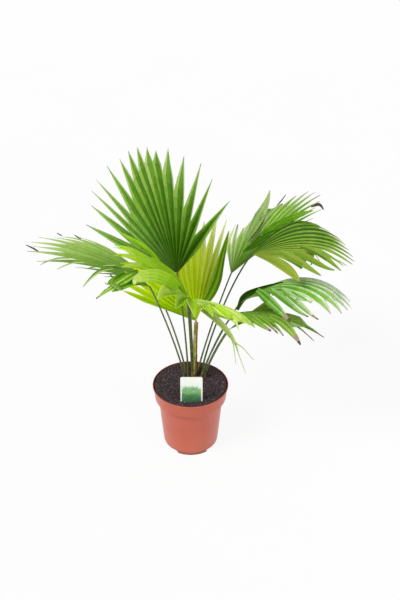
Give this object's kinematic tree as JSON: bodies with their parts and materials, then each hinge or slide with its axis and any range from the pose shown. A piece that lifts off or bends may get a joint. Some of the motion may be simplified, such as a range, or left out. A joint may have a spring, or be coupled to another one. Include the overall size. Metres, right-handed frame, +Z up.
{
  "type": "potted fan palm",
  "caption": "Young fan palm with round pleated leaves on long thin petioles, standing in a tapered nursery pot with soil and an upright plant label.",
  "frame": {"origin": "centre of the pot's flat underside", "axes": "+Z up along the pot's axis, -Y towards the side with the label, +X to the right as the label is faced"},
  "size_m": [0.7617, 0.705, 0.8157],
  "materials": {
    "pot": "satin terracotta-coloured moulded plastic",
    "soil": "loose dark peat",
    "label": "printed card plastic",
    "stem": "fibrous leaf bases",
    "petiole": "smooth green",
    "leaf_mid_green": "glossy pleated leaf",
    "leaf_lime": "glossy pleated leaf",
    "leaf_pale": "satin pleated leaf",
    "leaf_dark": "glossy pleated leaf",
    "leaf_olive": "satin pleated leaf"
  },
  "bodies": {
    "root": {"pot": "pot", "soil": "soil", "label": "label", "stem": "stem", "petiole_upright": "petiole", "petiole_front": "petiole", "petiole_young": "petiole", "petiole_far_left": "petiole", "petiole_low_left": "petiole", "petiole_upper_right": "petiole", "petiole_right": "petiole", "petiole_mid_right": "petiole", "petiole_low_right": "petiole", "petiole_folded": "petiole", "frond_upright": "leaf_mid_green", "frond_front": "leaf_lime", "frond_young": "leaf_lime", "frond_far_left": "leaf_pale", "frond_low_left": "leaf_dark", "frond_upper_right": "leaf_pale", "frond_right": "leaf_olive", "frond_mid_right": "leaf_mid_green", "frond_low_right": "leaf_mid_green", "frond_folded": "leaf_dark"}
  },
  "joints": []
}
